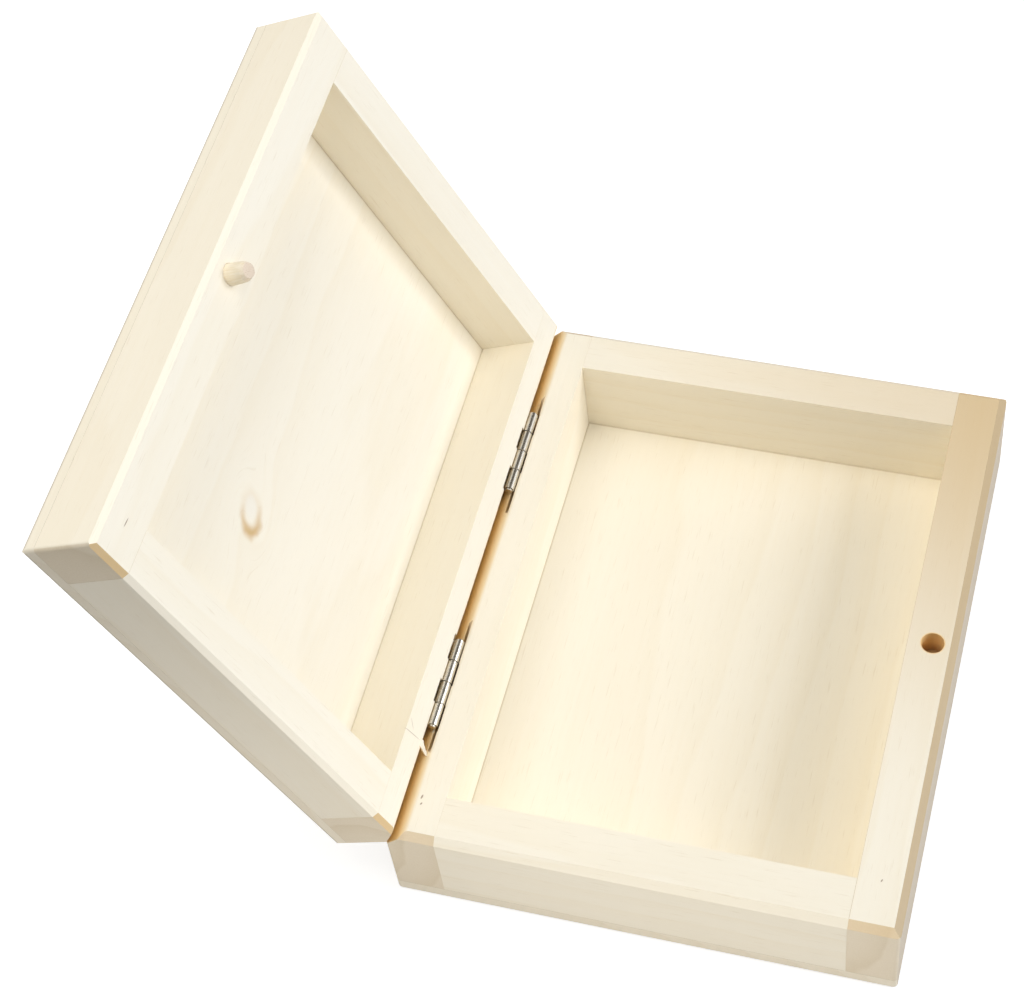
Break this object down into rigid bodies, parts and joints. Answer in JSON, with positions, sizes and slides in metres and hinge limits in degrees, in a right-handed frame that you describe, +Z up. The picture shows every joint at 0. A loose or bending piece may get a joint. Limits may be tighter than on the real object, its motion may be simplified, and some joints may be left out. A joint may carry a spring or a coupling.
{
  "type": "playing card box with hinged lid",
  "caption": "Small pale wooden box for a boxed deck of playing cards: framed tray and framed lid on press-in hinges, with a peg in the lid's rim that drops into a hole in the tray's rim.",
  "frame": {"origin": "middle of the base's flat underside", "axes": "+Z up, +X from the hinge side to the peg side, +Y along the box from the near end to the far end"},
  "size_m": [0.1456, 0.1206, 0.1057],
  "materials": {
    "frame_wood": "bare sanded pale softish hardwood, unfinished",
    "panel_wood": "bare sanded pale sheet, unfinished",
    "dowel_wood": "bare dowel, knife-cut tip",
    "hinge_metal": "bright nickel plate on rolled steel sheet"
  },
  "bodies": {
    "base": {"base_hinge_side_wall": "frame_wood", "base_peg_side_wall": "frame_wood", "base_near_wall": "frame_wood", "base_far_wall": "frame_wood", "base_bottom_panel": "panel_wood", "near_hinge_base_leaf": "hinge_metal", "near_hinge_pin": "hinge_metal", "far_hinge_base_leaf": "hinge_metal", "far_hinge_pin": "hinge_metal"},
    "lid": {"lid_hinge_side_wall": "frame_wood", "lid_peg_side_wall": "frame_wood", "lid_near_wall": "frame_wood", "lid_far_wall": "frame_wood", "lid_top_panel": "panel_wood", "closing_peg": "dowel_wood", "near_hinge_lid_leaf": "hinge_metal", "far_hinge_lid_leaf": "hinge_metal"}
  },
  "joints": [
    {"name": "lid_hinge", "type": "hinge", "parent": "base", "child": "lid", "pos_m": [-0.0449, 0, 0.02225], "axis": [0, 1, 0], "range_deg": [0, 115]}
  ]
}
